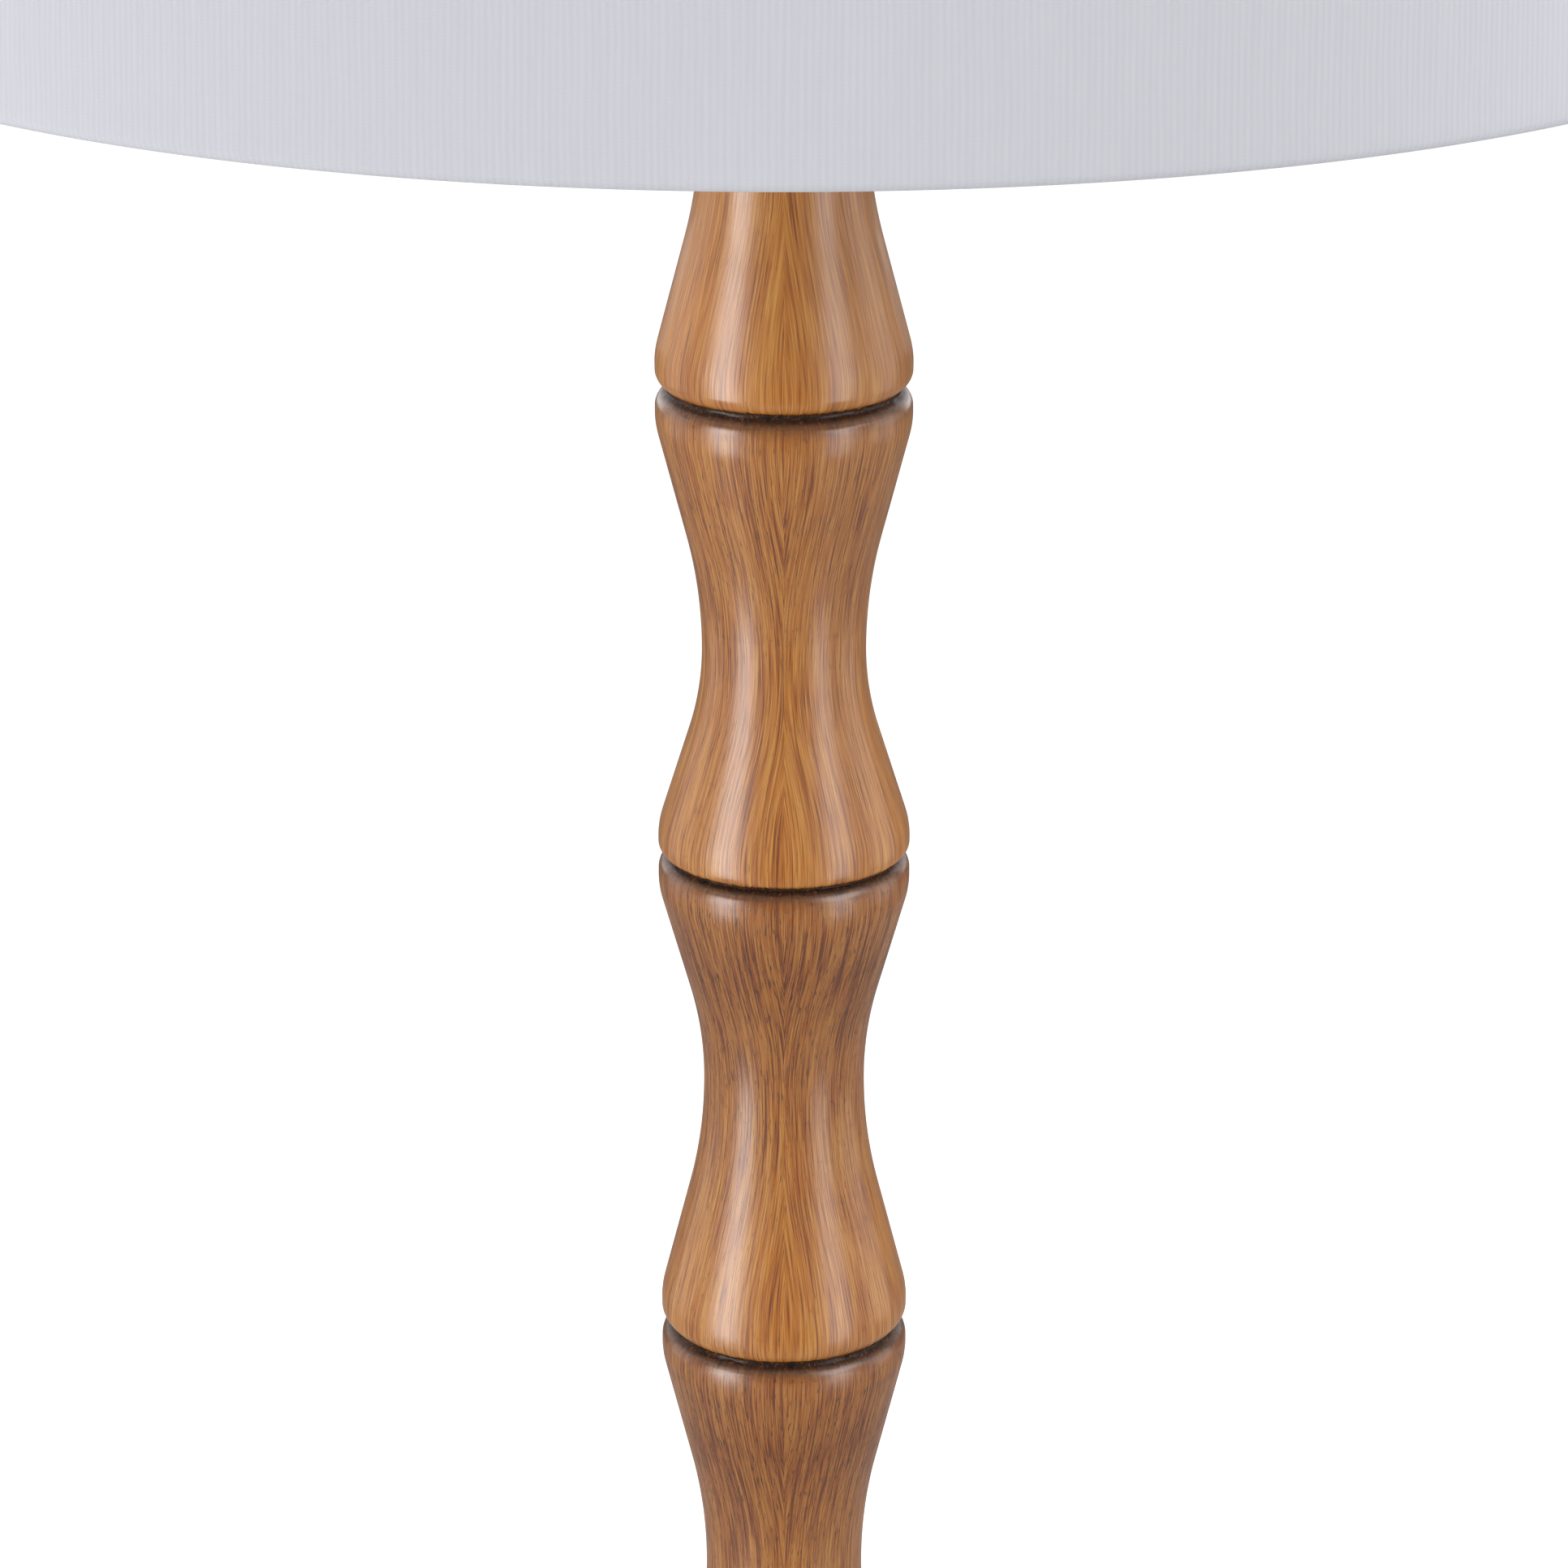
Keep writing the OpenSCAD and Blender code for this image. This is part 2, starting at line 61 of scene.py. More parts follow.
NODE_R = 28.8
WAIST_R = 18.6
BORE_R = 5.4
SHOULDER_R = 20.0

# the rolled edge beside a groove, and the groove itself
EDGE_H = 5.5
EDGE_R = 4.0
EDGE_START = 1.2
EDGE_STEPS = 10
EDGE_SWEEP = 65.0
GROOVE_DEEP = 2.6
CORNER_DEEP = 2.52
CORNER_H = 0.42
LUMP_REACH = 1.8
# larger makes the flank between a waist and a node rounder
HOLLOWNESS = 0.42

HUB_H = 90.0
LEG_ANGLE = 30.0
LEG_NODE_R = 20.0
LEG_WAIST_R = 13.0
LEG_SCALE = 0.7
LEG_CANES = 4
LEG_GROWTH = 8.0
# from the third groove of a leg to the floor, along the leg
LEG_END = 17.0
SEAT_R = 45.0
SEAT_DROP = 63.0
PAD_H = 5.0
PAD_R = 15.0
SCREW_R = 2.2
SCREW_HEAD_R = 5.0
SCREW_HEAD_Z = 3.8
LEG_TURNS = {"leg_front": 270, "leg_right": 30, "leg_left": 150}

SHADE_TOP = 1497.0
SHADE_BOTTOM = 1218.0
SHADE_BOTTOM_R = 228.6
SHADE_TOP_R = 216.0
ROLL_R = 2.5
CLOTH_T = 0.8
LINER_T = 0.5
SKIN_GAP = 0.1
LAP_HALF = 6.5
LAP_T = 0.5

BULB_R = 30.0
BULB_RISE = 50.0
NECK_R = 13.6
GLASS_Z = 1310.0
FINIAL_Z = 1502.0
FINIAL_R = 9.6

# grain: the radius it is true at, how softly it widens past that, and how it spreads
GRAIN_R = 24.0
GRAIN_EASE = 3.0
GRAIN_SPREAD = 0.38


def node_z(i):
    """Height of column groove i, counted down from the top of the column."""
    if i == 0:
        return COLUMN_TOP
    return (COLUMN_TOP - TOP_CANE - (i - 1) * SECOND_CANE
            - CANE_GROWTH * (i - 1) * (i - 2) / 2)


HUB_TOP = node_z(CANES)
HUB_BOTTOM = HUB_TOP - HUB_H
SEAT_Z = HUB_TOP - SEAT_DROP
LEG_LEN = SEAT_Z / math.cos(math.radians(LEG_ANGLE))
LEG_CANE = (LEG_LEN - LEG_END - 3 * LEG_GROWTH) / 3
FOOT_R = SEAT_R + (SEAT_Z - PAD_H) * math.tan(math.radians(LEG_ANGLE))


# ---------------------------------------------------------------- outlines

def flank(waist, full, rise, hollow_r, full_r, fine=3):
    """Concave arc, straight flank and convex arc, as (radius, height) pairs going up."""
    both = hollow_r + full_r
    reach = both - (full - waist)
    lean = math.atan2(rise, reach) - math.acos(both / math.hypot(rise, reach))
    steps, turns = 6 * fine, 4 * fine
    low = [(waist + hollow_r * (1 - math.cos(lean * i / steps)),
            hollow_r * math.sin(lean * i / steps)) for i in range(steps + 1)]
    high = [(full - full_r * (1 - math.cos(lean * i / turns)),
             rise - full_r * math.sin(lean * i / turns)) for i in range(turns, -1, -1)]
    (r0, z0), (r1, z1) = low[-1], high[0]
    mid = [(r0 + (r1 - r0) * i / steps, z0 + (z1 - z0) * i / steps) for i in range(1, steps)]
    return low + mid + high


def half_cane(height, full, waist, k, shoulder):
    """Half a cane, from its waist to the bottom of the groove at its end.

    k scales the rolled edge and the groove; shoulder is the radius over the full part.
    """
    rise = height - EDGE_H * k
    both = HOLLOWNESS * rise * rise / (full - waist)
    pts = flank(waist, full, rise, both - shoulder, shoulder)
    for i in range(1, EDGE_STEPS + 1):
        a = math.radians(EDGE_SWEEP * i / EDGE_STEPS)
        pts.append((full - EDGE_R * k * (1 - math.cos(a)),
                    rise + (EDGE_START + EDGE_R * math.sin(a)) * k))
    pts.append((full - CORNER_DEEP * k, height - CORNER_H * k))
    pts.append((full - GROOVE_DEEP * k, height))
    return pts


def cane(low, mid, high, full, waist, k_low, k_high, shoulder):
    """One whole cane from its lower groove to its upper groove."""
    down = half_cane(mid - low, full, waist, k_low, shoulder)
    up = half_cane(high - mid, full, waist, k_high, shoulder)
    return [(r, mid - z) for r, z in reversed(down[1:])] + [(r, mid + z) for r, z in up]


def column_outline(first, last, trim):
    """Outline of the canes from last up to first, with the grooves they end in."""
    pts = []
    for i in range(last, first - 1, -1):
        mid = (node_z(i) + node_z(i + 1)) / 2 - WAIST_SHIFT[i]
        part = cane(node_z(i + 1), mid, node_z(i), NODE_R, WAIST_R,
                    trim if i == last else 1, 1, SHOULDER_R)
        pts += part if i == last else part[1:]
    return pts


def leg_node(i):
    """Distance along a leg, from its seat in the hub, to its groove i."""
    return i * LEG_CANE + LEG_GROWTH * i * (i - 1) / 2


def leg_outline():
    """Outline of a whole leg, from its seat to past the floor, where it is cut off."""
    pts = []
    for i in range(LEG_CANES):
        mid = (leg_node(i) + leg_node(i + 1)) / 2
        part = cane(leg_node(i), mid, leg_node(i + 1), LEG_NODE_R, LEG_WAIST_R,
                    LEG_SCALE, LEG_SCALE, SHOULDER_R * LEG_SCALE)
        pts += part if i == 0 else part[1:]
    return pts


# ---------------------------------------------------------------- making meshes

def spun(outline, steps, closed=False):
    """Turns an outline of (radius, height) pairs about the Z axis.

    A closed outline makes a ring; an open one is run in to the axis at both ends.
    """
    bm = bmesh.new()
    pts = list(outline)
    if not closed:
        pts = ([(0.0, pts[0][1])] * (pts[0][0] > 0) + pts
               + [(0.0, pts[-1][1])] * (pts[-1][0] > 0))
    ring = [bm.verts.new((r * MM, 0, z * MM)) for r, z in pts]
    for a, b in zip(ring, ring[1:]):
        bm.edges.new((a, b))
    if closed:
        bm.edges.new((ring[-1], ring[0]))
    bmesh.ops.spin(bm, geom=bm.verts[:] + bm.edges[:], cent=(0, 0, 0), axis=(0, 0, 1),
                   angle=math.tau, steps=steps, use_merge=True)
    bmesh.ops.remove_doubles(bm, verts=bm.verts[:], dist=1e-6)
    bmesh.ops.recalc_face_normals(bm, faces=bm.faces[:])
    return bm


def soften(bm, width, degrees=35):
    """Rounds every edge sharper than the given angle."""
    sharp = [e for e in bm.edges
             if len(e.link_faces) == 2 and e.calc_face_angle() > math.radians(degrees)]
    bmesh.ops.bevel(bm, geom=sharp, offset=width * MM, offset_type="OFFSET", segments=2,
                    profile=0.5, affect="EDGES", material=-1, clamp_overlap=True)


def piece(name, bm, body, finish, replaces, crisp=40):
    """Makes the finished object: smooth faces, edges kept crisp above an angle."""
    bmesh.ops.recalc_face_normals(bm, faces=bm.faces[:])
    for f in bm.faces:
        f.smooth = True
    for e in bm.edges:
        if len(e.link_faces) == 2 and e.calc_face_angle() > math.radians(crisp):
            e.smooth = False
    mesh = bpy.data.meshes.new(name)
    bm.to_mesh(mesh)
    bm.free()
    obj = bpy.data.objects.new(name, mesh)
    scene.collection.objects.link(obj)
    mesh.materials.append(finish)
    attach(obj, body)
    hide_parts(*replaces)
    return obj


def merged_copy(node):
    """A CAD node's shape as one joined mesh, so that its faces can be shaded smoothly."""
    bm = bmesh.new()
    bm.from_mesh(nodes[node].data)
    bmesh.ops.remove_doubles(bm, verts=bm.verts[:], dist=2e-6)
    bmesh.ops.dissolve_degenerate(bm, dist=1e-6, edges=bm.edges[:])
    return bm


def grain_marks(obj, to_axis, grooves):
    """Stores how the grain and the glaze lie on a turned piece.

    to_axis takes a point of the piece to where its own axis is Z. The grain vector holds
    the distance in from the sides, the height, and which quarter of the turning it is on;
    groove is the height above the nearest groove, all in millimetres.
    """
    mesh = obj.data
    mesh.attributes.new("grain", "FLOAT_VECTOR", "CORNER")
    mesh.attributes.new("groove", "FLOAT", "CORNER")
    grain, groove = mesh.attributes["grain"], mesh.attributes["groove"]
    spots = [(to_axis @ v.co) / MM for v in mesh.vertices]
    insets = []
    for x, y, z in spots:
        r = max(math.hypot(x, y), 0.5)
        from_side = math.pi / 2 - math.acos(min(1, abs(y) / r))
        over = max(r - GRAIN_R, 0)
        eased = min(r, GRAIN_R) + GRAIN_EASE * math.tanh(over / GRAIN_EASE)
        insets.append(from_side * GRAIN_R * (eased / GRAIN_R) ** GRAIN_SPREAD)
    for face in mesh.polygons:
        x, y, z = (to_axis @ face.center) / MM
        # each quarter of the turning reads its own slice of the grain pattern
        quarter = 9.7 + math.copysign(5.3, x) + math.copysign(2.1, y)
        near = min(grooves, key=lambda g: abs(z - g))
        for corner, v in zip(face.loop_indices, face.vertices):
            grain.data[corner].vector = (insets[v], spots[v].z, quarter)
            groove.data[corner].value = spots[v].z - near


def lumpy_grooves(obj, to_axis, grooves, depth, seed):
    """Gives the floor of each groove the uneven surface of brushed glaze."""
    back = to_axis.inverted()
    for v in obj.data.vertices:
        p = (to_axis @ v.co) / MM
        r = math.hypot(p.x, p.y)
        gap = min(abs(p.z - g) for g in grooves)
        if r < BORE_R + 2 or gap > LUMP_REACH:
            continue
        rough = noise.noise(Vector((p.x * 0.55, p.y * 0.55, p.z * 0.9 + seed)))
        rough += 0.5 * noise.noise(Vector((p.x * 1.3, p.y * 1.3, p.z * 1.6 + seed)))
        push = 1 + depth * rough * (1 - gap / LUMP_REACH) / r
        v.co = back @ (Vector((p.x * push, p.y * push, p.z)) * MM)


# ---------------------------------------------------------------- finishes

class Finish:
    """A finish for one material: a principled surface and the nodes that feed it."""

    def __init__(self, name, **sockets):
        self.mat = bpy.data.materials.new(name)
        self.mat.use_nodes = True
        self.tree = self.mat.node_tree
        self.shader = self.tree.nodes["Principled BSDF"]
        for key, value in sockets.items():
            self.shader.inputs[key.replace("_", " ")].default_value = value

    def node(self, kind, *inputs, **settings):
        """Adds a node, sets its options and feeds its inputs in order."""
        n = self.tree.nodes.new("ShaderNode" + kind)
        for key, value in settings.items():
            setattr(n, key, value)
        for place, value in enumerate(inputs):
            self.put(n.inputs[place], value)
        return n

    def put(self, socket, value):
        if isinstance(value, bpy.types.NodeSocket):
            self.tree.links.new(value, socket)
        elif value is not None:
            socket.default_value = value

    def math(self, operation, *values):
        return self.node("Math", *values, operation=operation).outputs[0]

    def stretched(self, vector, by):
        return self.node("VectorMath", vector, by, operation="MULTIPLY").outputs[0]

    def noise(self, vector, scale=1.0, detail=2.0, rough=0.5):
        n = self.node("TexNoise")
        self.put(n.inputs["Vector"], vector)
        n.inputs["Scale"].default_value = scale
        n.inputs["Detail"].default_value = detail
        n.inputs["Roughness"].default_value = rough
        return n.outputs["Fac"]

    def ramp(self, fac, stops):
        """Straight blends between (place, shade) stops; a shade is a grey or a colour."""
        n = self.node("ValToRGB", fac)
        for i, (place, shade) in enumerate(stops):
            e = n.color_ramp.elements[i] if i < 2 else n.color_ramp.elements.new(place)
            e.position = place
            e.color = (*shade, 1) if isinstance(shade, tuple) else (shade, shade, shade, 1)
        return n.outputs["Color"]

    def mix(self, fac, a, b, blend="MIX"):
        n = self.node("Mix", data_type="RGBA", blend_type=blend)
        self.put(n.inputs["Factor"], fac)
        for socket, value in ((n.inputs[6], a), (n.inputs[7], b)):
            self.put(socket, (*value, 1) if isinstance(value, tuple) else value)
        return n.outputs[2]

    def span(self, value, low, high, to_low=0.0, to_high=1.0):
        """Smooth step from to_low to to_high as value goes from low to high."""
        n = self.node("MapRange", interpolation_type="SMOOTHSTEP")
        for place, v in enumerate((value, low, high, to_low, to_high)):
            self.put(n.inputs[place], v)
        return n.outputs[0]

    def object_point(self):
        return self.node("TexCoord").outputs["Object"]

    def attribute(self, name, output):
        return self.node("Attribute", attribute_name=name).outputs[output]

    def bump(self, height, distance, strength=1.0):
        n = self.node("Bump")
        n.inputs["Strength"].default_value = strength
        n.inputs["Distance"].default_value = distance
        self.put(n.inputs["Height"], height)
        self.put(self.shader.inputs["Normal"], n.outputs[0])

    def set(self, key, value):
        self.put(self.shader.inputs[key], value)


def cane_glaze(name, light, mid, dark):
    """Amber glaze combed along cane-look wood and burnt dark in the grooves."""
    f = Finish(name, Coat_Roughness=0.28, Coat_IOR=1.70)
    grain = f.attribute("grain", "Vector")
    groove = f.attribute("groove", "Fac")
    inset, height, quarter = f.node("SeparateXYZ", grain).outputs
    # the combed lines sway a little as they run up the cane
    sway = f.noise(f.stretched(grain, (0.07, 0.02, 1.0)), detail=1)
    inset = f.math("MULTIPLY_ADD", sway, 1.5, inset)
    lines = f.node("CombineXYZ", inset, height, quarter).outputs[0]
    hair = f.noise(f.stretched(lines, (4.8, 0.09, 1.0)), detail=1, rough=0.5)
    streak = f.noise(f.stretched(lines, (2.1, 0.045, 1.0)), detail=2, rough=0.5)
    broad = f.noise(f.stretched(lines, (0.45, 0.02, 1.0)), detail=1)
    tone = f.math("MULTIPLY_ADD", hair, 0.42, f.math("MULTIPLY_ADD", streak, 0.40,
                  f.math("MULTIPLY", broad, 0.18)))
    # the comb bit deeper low on the lamp and a little way under each groove; the same mask also
    # darkens the colour there: painted shade under each groove, where the cane faces down, and
    # darker towards the bottom of the lamp
    along = f.math("DIVIDE", f.math("ADD", groove, 60), 120)
    under = f.node("RGBToBW", f.ramp(along, [(0.0, 0.65), (0.3, 1.0), (0.46, 0.75),
                                             (0.52, 0.35), (0.7, 0.35), (1.0, 0.65)])).outputs[0]
    brushing_and_shade = f.math("MULTIPLY", under, f.span(height, 1160, 960, 0.5, 1.0))
    tone = f.math("MULTIPLY_ADD", f.math("SUBTRACT", tone, 0.5),
                  f.math("MULTIPLY_ADD", brushing_and_shade, 1.3, 0.6), 0.5)
    wood = f.ramp(tone, [(0.36, dark), (0.48, mid), (0.62, light)])
    dash = f.noise(f.stretched(lines, (4.4, 0.3, 1.0)), detail=2, rough=0.5)
    pore = f.math("MULTIPLY", f.span(f.math("MULTIPLY_ADD", brushing_and_shade, 0.06, dash), 0.66, 0.75),
                  f.math("MULTIPLY_ADD", brushing_and_shade, 0.75, 0.15))
    wood = f.mix(pore, wood, tuple(0.3 * c for c in dark))
    # painted shade: the wood is multiplied darker under each groove, where the cane faces down,
    # and towards the bottom of the lamp
    wood = f.mix(brushing_and_shade, wood, (0.53, 0.41, 0.29), "MULTIPLY")
    # burnt band in the groove: ragged at the top, fading out over the lip below
    ragged = f.noise(f.stretched(grain, (0.9, 0.7, 1.0)), detail=4, rough=0.75)
    level = f.math("MULTIPLY_ADD", ragged, 2.4, f.math("SUBTRACT", groove, 1.2))
    burnt = f.node("RGBToBW", f.ramp(f.math("DIVIDE", f.math("ADD", level, 8), 10),
                   [(0.0, 0.0), (0.22, 0.10), (0.42, 0.42), (0.57, 0.68), (0.67, 0.92),
                    (0.77, 1.0), (0.87, 0.95), (0.92, 0.0)])).outputs[0]
    char = f.ramp(burnt, [(0.15, (0.30, 0.090, 0.022)), (0.62, (0.15, 0.046, 0.013)),
                          (1.0, (0.028, 0.013, 0.008))])
    inside = f.span(f.math("ABSOLUTE", groove), 2.2, 0.5)
    fleck = f.noise(f.stretched(grain, (1.7, 1.9, 1.0)), detail=3, rough=0.7)
    char = f.mix(f.math("MULTIPLY", inside, f.span(fleck, 0.56, 0.64)), char,
                 (0.24, 0.085, 0.024))
    pit = f.noise(f.stretched(grain, (0.55, 0.6, 1.0)), detail=0)
    char = f.mix(f.span(pit, 0.70, 0.75), char, (0.012, 0.008, 0.007))
    f.set("Base Color", f.mix(burnt, wood, char))
    # the lip under the groove is smooth and glassy, the cane itself is satin
    lip = f.math("MULTIPLY", f.span(groove, -5.0, -3.0), f.span(groove, -0.2, -1.0))
    satin = f.math("MULTIPLY_ADD", inside, 0.3, 0.42)
    f.set("Roughness", f.math("MULTIPLY_ADD", lip, -0.15, satin))
    f.set("Specular IOR Level", f.math("MULTIPLY_ADD", inside, -0.3, 0.4))
    f.set("Coat Weight", f.math("SUBTRACT", f.math("MULTIPLY_ADD", brushing_and_shade, -0.4, 1.0),
                                f.math("MULTIPLY", inside, 0.55)))
    ridge = f.math("MULTIPLY", f.math("SUBTRACT", tone, pore),
                   f.math("MULTIPLY_ADD", lip, -0.9, 1.0))
    crust = f.math("MULTIPLY", f.math("MULTIPLY", fleck, inside), 2.0)
    relief = f.math("MULTIPLY_ADD", ridge, f.math("MULTIPLY_ADD", brushing_and_shade, 0.7, 0.3), crust)
    f.bump(relief, 0.0004, 1.0)
    return f.mat


def metal(name, colour, dull, rough):
    """Plated or lacquered metal with faint clouding and fine scuffs."""
    f = Finish(name, Metallic=1.0)
    point = f.object_point()
    cloud = f.noise(point, scale=60, detail=4)
    scuff = f.noise(f.stretched(point, (1.0, 1.0, 0.15)), scale=1800, detail=2)
    worn = f.math("MULTIPLY", f.span(cloud, 0.42, 0.72), 0.5)
    f.set("Base Color", f.mix(worn, colour, dull))
    f.set("Roughness", f.math("MULTIPLY_ADD", cloud, 0.22, rough - 0.08))
    f.bump(scuff, 0.00001, 0.6)
    return f.mat


def threaded(name, colour, pitch):
    """Plain steel rod with a cut thread."""
    f = Finish(name, Metallic=1.0)
    z = f.node("SeparateXYZ", f.object_point()).outputs[2]
    turn = f.math("PINGPONG", z, pitch / 2)
    cloud = f.noise(f.object_point(), scale=90, detail=3)
    f.set("Base Color", f.mix(cloud, colour, tuple(0.6 * c for c in colour)))
    f.set("Roughness", f.math("MULTIPLY_ADD", cloud, 0.25, 0.25))
    f.bump(f.math("MULTIPLY", turn, 2 / pitch), 0.0004, 1.0)
    return f.mat


def moulded(name, colour, rough=0.5, grit=900, depth=0.00003):
    """Moulded plastic or rubber with a fine eggshell surface."""
    f = Finish(name)
    point = f.object_point()
    cloud = f.noise(point, scale=45, detail=3)
    f.set("Base Color", f.mix(cloud, colour, tuple(min(1.0, 1.5 * c + 0.004) for c in colour)))
    f.set("Roughness", f.math("MULTIPLY_ADD", cloud, 0.2, rough - 0.1))
    f.bump(f.noise(point, scale=grit, detail=2), depth, 0.8)
    return f.mat


def card(name, colour):
    """Fibre card, mottled and matt."""
    f = Finish(name, Roughness=0.9)
    point = f.object_point()
    fibre = f.noise(f.stretched(point, (1.0, 1.0, 2.5)), scale=700, detail=4, rough=0.7)
    f.set("Base Color", f.mix(fibre, colour, tuple(0.55 * c for c in colour)))
    f.bump(fibre, 0.0001, 0.7)
    return f.mat


def linen(name, thread, gap):
    """Fine linen-look cloth: upright ribs crossed by thinner threads, with slubs."""
    f = Finish(name, Roughness=0.85, Sheen_Weight=0.25, Sheen_Roughness=0.5,
               Specular_IOR_Level=0.2)
    uv = f.node("UVMap", uv_map="weave").outputs[0]
    slub = f.noise(f.stretched(uv, (0.9, 0.035, 1.0)), detail=3, rough=0.6)
    bend = f.noise(f.stretched(uv, (0.05, 0.05, 1.0)), detail=2)
    u, v = f.node("SeparateXYZ", uv).outputs[:2]
    u = f.math("ADD", u, f.math("MULTIPLY_ADD", bend, 0.9, -0.45))
    v = f.math("ADD", v, f.math("MULTIPLY_ADD", slub, 0.5, -0.25))
    rib = f.math("PINGPONG", u, 0.65)
    weft = f.math("PINGPONG", v, 0.35)
    height = f.math("ADD", rib, f.math("MULTIPLY", weft, 0.5))
    shade = f.math("ADD", f.math("MULTIPLY", height, 0.55), f.math("MULTIPLY", slub, 0.7))
    f.set("Base Color", f.mix(f.span(shade, 0.25, 1.0), gap, thread))
    f.bump(height, 0.00009, 0.6)
    return f.mat


def lining(name, colour):
    """Smooth styrene sheet with a trace of mottle."""
    f = Finish(name, Roughness=0.45)
    point = f.object_point()
    cloud = f.noise(point, scale=14, detail=4)
    f.set("Base Color", f.mix(cloud, colour, tuple(0.93 * c for c in colour)))
    f.bump(f.noise(point, scale=260, detail=2), 0.00004, 0.5)
    return f.mat


def opal(name):
    """White opal glass, softly glossy and faintly mottled."""
    f = Finish(name, Roughness=0.22, Subsurface_Weight=0.35, Subsurface_Scale=0.006,
               Coat_Weight=0.5, Coat_Roughness=0.08)
    point = f.object_point()
    cloud = f.noise(point, scale=40, detail=3)
    f.set("Base Color", f.mix(cloud, (0.90, 0.89, 0.86), (0.83, 0.82, 0.79)))
    f.bump(f.noise(point, scale=120, detail=1), 0.00003, 0.4)
    return f.mat


amber = cane_glaze("amber_cane_glaze", light=(0.78, 0.38, 0.082), mid=(0.585, 0.201, 0.0225),
                   dark=(0.250, 0.064, 0.008))
brass = metal("antique_brass", (0.62, 0.42, 0.17), (0.30, 0.19, 0.08), rough=0.32)
harp_brass = metal("harp_brass", (0.68, 0.49, 0.21), (0.40, 0.27, 0.11), rough=0.26)
fitter_brass = metal("fitter_brass", (0.66, 0.48, 0.22), (0.42, 0.29, 0.13), rough=0.3)
insert_brass = metal("insert_brass", (0.66, 0.47, 0.20), (0.42, 0.29, 0.12), rough=0.35)
zinc = metal("zinc_plate", (0.60, 0.61, 0.62), (0.42, 0.42, 0.43), rough=0.3)
shell_aluminium = metal("shell_aluminium", (0.72, 0.73, 0.74), (0.55, 0.55, 0.56), rough=0.26)
pipe_steel = threaded("threaded_pipe", (0.46, 0.46, 0.47), 0.00094)
pad_rubber = moulded("foot_rubber", (0.022, 0.021, 0.020), rough=0.7, grit=700, depth=0.00006)
black_plastic = moulded("black_plastic", (0.020, 0.019, 0.019), rough=0.42)
knob_plastic = moulded("knob_plastic", (0.018, 0.016, 0.015), rough=0.35)
phenolic = moulded("phenolic", (0.045, 0.024, 0.014), rough=0.4, grit=1400)
fibre_card = card("fibre_card", (0.26, 0.18, 0.11))
black_glass = moulded("black_glass", (0.010, 0.010, 0.011), rough=0.18, grit=200, depth=0.00001)
opal_glass = opal("opal_glass")
linen_cloth = linen("linen_cloth", (0.735, 0.742, 0.795), (0.68, 0.690, 0.745))
styrene = lining("styrene_lining", (0.82, 0.81, 0.78))

# ---------------------------------------------------------------- column

UPRIGHT = Matrix.Identity(4)
COLUMN_GROOVES = [node_z(i) for i in range(CANES + 1)]


def column_piece(name, first, last, trim, seed):
    """One turned length of column, bored for the pipe; trim thins its lowest groove."""
    outer = column_outline(first, last, trim)
    low, high = outer[0][1], outer[-1][1]
    bm = spun([(BORE_R, low)] + outer + [(BORE_R, high)], steps=120, closed=True)
    obj = piece(name + "_turned", bm, "lamp", amber, [name], crisp=75)
    lumpy_grooves(obj, UPRIGHT, COLUMN_GROOVES, 0.45, seed)
    grain_marks(obj, UPRIGHT, COLUMN_GROOVES)


column_piece("column_lower", LOWER_JOINT, CANES - 1, 1.0, 11)
column_piece("column_middle", UPPER_JOINT, LOWER_JOINT - 1, JOINT_TRIM, 23)
column_piece("column_upper", 0, UPPER_JOINT - 1, JOINT_TRIM, 37)

# ---------------------------------------------------------------- legs, feet and hub

LEG_GROOVES = [leg_node(i) for i in range(1, LEG_CANES + 1)]


def leg_place(turn):
    """Where a leg drawn upright from the origin goes: out of its socket and downwards."""
    return (Matrix.Rotation(math.radians(turn), 4, "Z")
            @ Matrix.Translation(Vector((SEAT_R, 0, SEAT_Z)) * MM)
            @ Matrix.Rotation(math.radians(180 - LEG_ANGLE), 4, "Y"))


for number, (name, turn) in enumerate(LEG_TURNS.items()):
    place = leg_place(turn)
    bm = spun(leg_outline(), steps=96)
    bmesh.ops.transform(bm, matrix=place, verts=bm.verts[:])
    pad_top = (0, 0, PAD_H * MM)
    cut = bmesh.ops.bisect_plane(bm, geom=bm.verts[:] + bm.edges[:] + bm.faces[:],
                                 plane_co=pad_top, plane_no=(0, 0, -1), clear_outer=True)
    rim = [e for e in cut["geom_cut"] if isinstance(e, bmesh.types.BMEdge)]
    bmesh.ops.contextual_create(bm, geom=rim)
    leg = piece(name + "_turned", bm, "lamp", amber, [name], crisp=75)
    lumpy_grooves(leg, place.inverted(), LEG_GROOVES, 0.3, 50 + 7 * number)
    grain_marks(leg, place.inverted(), LEG_GROOVES)

pads = bmesh.new()
for turn in LEG_TURNS.values():
    one = spun([(SCREW_HEAD_R, 0), (PAD_R, 0), (PAD_R, PAD_H), (SCREW_R, PAD_H),
                (SCREW_R, SCREW_HEAD_Z), (SCREW_HEAD_R, SCREW_HEAD_Z)], steps=64, closed=True)
    soften(one, 0.7)
    at_foot = (Matrix.Rotation(math.radians(turn), 4, "Z")
               @ Matrix.Translation((FOOT_R * MM, 0, 0)))
    bmesh.ops.transform(one, matrix=at_foot, verts=one.verts[:])
    held = bpy.data.meshes.new("foot_pad")
    one.to_mesh(held)
    one.free()
    pads.from_mesh(held)
    bpy.data.meshes.remove(held)
piece("rubber_feet", pads, "lamp", pad_rubber, ["foot_pads"])

hub = merged_copy("hub")
hub_block = piece("hub_block", hub, "lamp", amber, ["hub"], crisp=38)
grain_marks(hub_block, UPRIGHT, [HUB_TOP])

